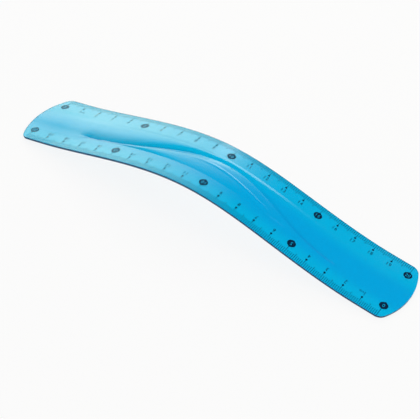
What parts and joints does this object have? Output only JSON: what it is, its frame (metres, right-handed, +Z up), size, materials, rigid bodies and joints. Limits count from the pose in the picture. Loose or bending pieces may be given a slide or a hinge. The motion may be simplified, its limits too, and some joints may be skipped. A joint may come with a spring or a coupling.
{
  "type": "flexible ruler",
  "caption": "Translucent blue flexible plastic ruler with two 20 cm scales, resting bent into a low arch that bends and twists.",
  "frame": {"origin": "on the table under the middle of the arch, midway between the two tips and the two edges", "axes": "+X along the ruler from the far scale's zero to its 20, +Y from the near edge to the far edge, +Z up"},
  "size_m": [0.2106, 0.04, 0.0219],
  "materials": {
    "clear_blue_plastic": "glossy, see-through",
    "navy_ink": "thin printed ink"
  },
  "bodies": {
    "link_01": {"strip_01": "clear_blue_plastic", "ticks_01": "navy_ink", "figures_01": "navy_ink"},
    "link_02": {"strip_02": "clear_blue_plastic", "ticks_02": "navy_ink", "figures_02": "navy_ink"},
    "link_03": {"strip_03": "clear_blue_plastic", "ticks_03": "navy_ink", "figures_03": "navy_ink"},
    "link_04": {"strip_04": "clear_blue_plastic", "ticks_04": "navy_ink", "figures_04": "navy_ink"},
    "link_05": {"strip_05": "clear_blue_plastic", "ticks_05": "navy_ink", "figures_05": "navy_ink"},
    "link_06": {"strip_06": "clear_blue_plastic", "ticks_06": "navy_ink", "figures_06": "navy_ink"},
    "link_07": {"strip_07": "clear_blue_plastic", "ticks_07": "navy_ink", "figures_07": "navy_ink"},
    "link_08": {"strip_08": "clear_blue_plastic", "ticks_08": "navy_ink", "figures_08": "navy_ink"},
    "link_09": {"strip_09": "clear_blue_plastic", "ticks_09": "navy_ink", "figures_09": "navy_ink"},
    "link_10": {"strip_10": "clear_blue_plastic", "ticks_10": "navy_ink", "figures_10": "navy_ink"},
    "link_11": {"strip_11": "clear_blue_plastic", "ticks_11": "navy_ink", "figures_11": "navy_ink"},
    "link_12": {"strip_12": "clear_blue_plastic", "ticks_12": "navy_ink", "figures_12": "navy_ink"},
    "link_13": {"strip_13": "clear_blue_plastic", "ticks_13": "navy_ink", "figures_13": "navy_ink"},
    "link_14": {"strip_14": "clear_blue_plastic", "ticks_14": "navy_ink", "figures_14": "navy_ink"},
    "link_15": {"strip_15": "clear_blue_plastic", "ticks_15": "navy_ink", "figures_15": "navy_ink"},
    "link_16": {"strip_16": "clear_blue_plastic", "ticks_16": "navy_ink", "figures_16": "navy_ink"},
    "link_17": {"strip_17": "clear_blue_plastic", "ticks_17": "navy_ink", "figures_17": "navy_ink"},
    "link_18": {"strip_18": "clear_blue_plastic", "ticks_18": "navy_ink", "figures_18": "navy_ink"},
    "link_19": {"strip_19": "clear_blue_plastic", "ticks_19": "navy_ink", "figures_19": "navy_ink"}
  },
  "joints": [
    {"name": "bend_left_01", "type": "hinge", "parent": "link_02", "child": "link_01", "pos_m": [-0.08377, 0, 0.00524], "axis": [0, -1, 0], "range_deg": [-12, 12], "stiffness_Nm_per_rad": 0.4},
    {"name": "bend_left_02", "type": "hinge", "parent": "link_03", "child": "link_02", "pos_m": [-0.07405, 0, 0.0076], "axis": [0, -1, 0], "range_deg": [-12, 12], "stiffness_Nm_per_rad": 0.4},
    {"name": "twist_03", "type": "hinge", "parent": "link_04", "child": "link_03", "pos_m": [-0.06439, 0, 0.01018], "axis": [-0.9653, 0, -0.2613], "range_deg": [-12, 12], "stiffness_Nm_per_rad": 0.14},
    {"name": "bend_left_04", "type": "hinge", "parent": "link_05", "child": "link_04", "pos_m": [-0.05474, 0, 0.01282], "axis": [0, -1, 0], "range_deg": [-12, 12], "stiffness_Nm_per_rad": 0.4},
    {"name": "bend_left_05", "type": "hinge", "parent": "link_06", "child": "link_05", "pos_m": [-0.04507, 0, 0.01536], "axis": [0, -1, 0], "range_deg": [-12, 12], "stiffness_Nm_per_rad": 0.4},
    {"name": "bend_left", "type": "hinge", "parent": "link_07", "child": "link_06", "pos_m": [-0.03533, 0, 0.01761], "axis": [0, -1, 0], "range_deg": [-12, 12], "stiffness_Nm_per_rad": 0.4},
    {"name": "twist", "type": "hinge", "parent": "link_08", "child": "link_07", "pos_m": [-0.02549, 0, 0.01941], "axis": [-0.9889, 0, -0.1486], "range_deg": [-12, 12], "stiffness_Nm_per_rad": 0.14},
    {"name": "bend_middle_08", "type": "hinge", "parent": "link_09", "child": "link_08", "pos_m": [-0.01556, 0, 0.02058], "axis": [0, -1, 0], "range_deg": [-18, 9], "stiffness_Nm_per_rad": 0.4},
    {"name": "bend_middle", "type": "hinge", "parent": "link_10", "child": "link_09", "pos_m": [-0.00557, 0, 0.02094], "axis": [0, -1, 0], "range_deg": [-18, 9], "stiffness_Nm_per_rad": 0.4},
    {"name": "bend_middle_10", "type": "hinge", "parent": "link_10", "child": "link_11", "pos_m": [0.00441, 0, 0.02032], "axis": [0, 1, 0], "range_deg": [-18, 9], "stiffness_Nm_per_rad": 0.4},
    {"name": "bend_middle_11", "type": "hinge", "parent": "link_11", "child": "link_12", "pos_m": [0.01431, 0, 0.0189], "axis": [0, 1, 0], "range_deg": [-18, 9], "stiffness_Nm_per_rad": 0.4},
    {"name": "twist_12", "type": "hinge", "parent": "link_12", "child": "link_13", "pos_m": [0.02411, 0, 0.01691], "axis": [0.976, 0, -0.2178], "range_deg": [-12, 12], "stiffness_Nm_per_rad": 0.14},
    {"name": "bend_right", "type": "hinge", "parent": "link_13", "child": "link_14", "pos_m": [0.03383, 0, 0.01455], "axis": [0, 1, 0], "range_deg": [-12, 12], "stiffness_Nm_per_rad": 0.4},
    {"name": "bend_right_14", "type": "hinge", "parent": "link_14", "child": "link_15", "pos_m": [0.04351, 0, 0.01202], "axis": [0, 1, 0], "range_deg": [-12, 12], "stiffness_Nm_per_rad": 0.4},
    {"name": "bend_right_15", "type": "hinge", "parent": "link_15", "child": "link_16", "pos_m": [0.05319, 0, 0.00954], "axis": [0, 1, 0], "range_deg": [-12, 12], "stiffness_Nm_per_rad": 0.4},
    {"name": "twist_16", "type": "hinge", "parent": "link_16", "child": "link_17", "pos_m": [0.06292, 0, 0.00722], "axis": [0.9759, 0, -0.2181], "range_deg": [-12, 12], "stiffness_Nm_per_rad": 0.14},
    {"name": "bend_right_17", "type": "hinge", "parent": "link_17", "child": "link_18", "pos_m": [0.07271, 0, 0.00518], "axis": [0, 1, 0], "range_deg": [-12, 12], "stiffness_Nm_per_rad": 0.4},
    {"name": "bend_right_18", "type": "hinge", "parent": "link_18", "child": "link_19", "pos_m": [0.08257, 0, 0.00354], "axis": [0, 1, 0], "range_deg": [-12, 12], "stiffness_Nm_per_rad": 0.4}
  ],
  "couplings": [
    {"joint": "bend_left_01", "follows": "bend_left", "ratio": 1},
    {"joint": "bend_left_02", "follows": "bend_left", "ratio": 1},
    {"joint": "twist_03", "follows": "twist", "ratio": 1},
    {"joint": "bend_left_04", "follows": "bend_left", "ratio": 1},
    {"joint": "bend_left_05", "follows": "bend_left", "ratio": 1},
    {"joint": "bend_middle_08", "follows": "bend_middle", "ratio": 1},
    {"joint": "bend_middle_10", "follows": "bend_middle", "ratio": 1},
    {"joint": "bend_middle_11", "follows": "bend_middle", "ratio": 1},
    {"joint": "twist_12", "follows": "twist", "ratio": 1},
    {"joint": "bend_right_14", "follows": "bend_right", "ratio": 1},
    {"joint": "bend_right_15", "follows": "bend_right", "ratio": 1},
    {"joint": "twist_16", "follows": "twist", "ratio": 1},
    {"joint": "bend_right_17", "follows": "bend_right", "ratio": 1},
    {"joint": "bend_right_18", "follows": "bend_right", "ratio": 1}
  ]
}
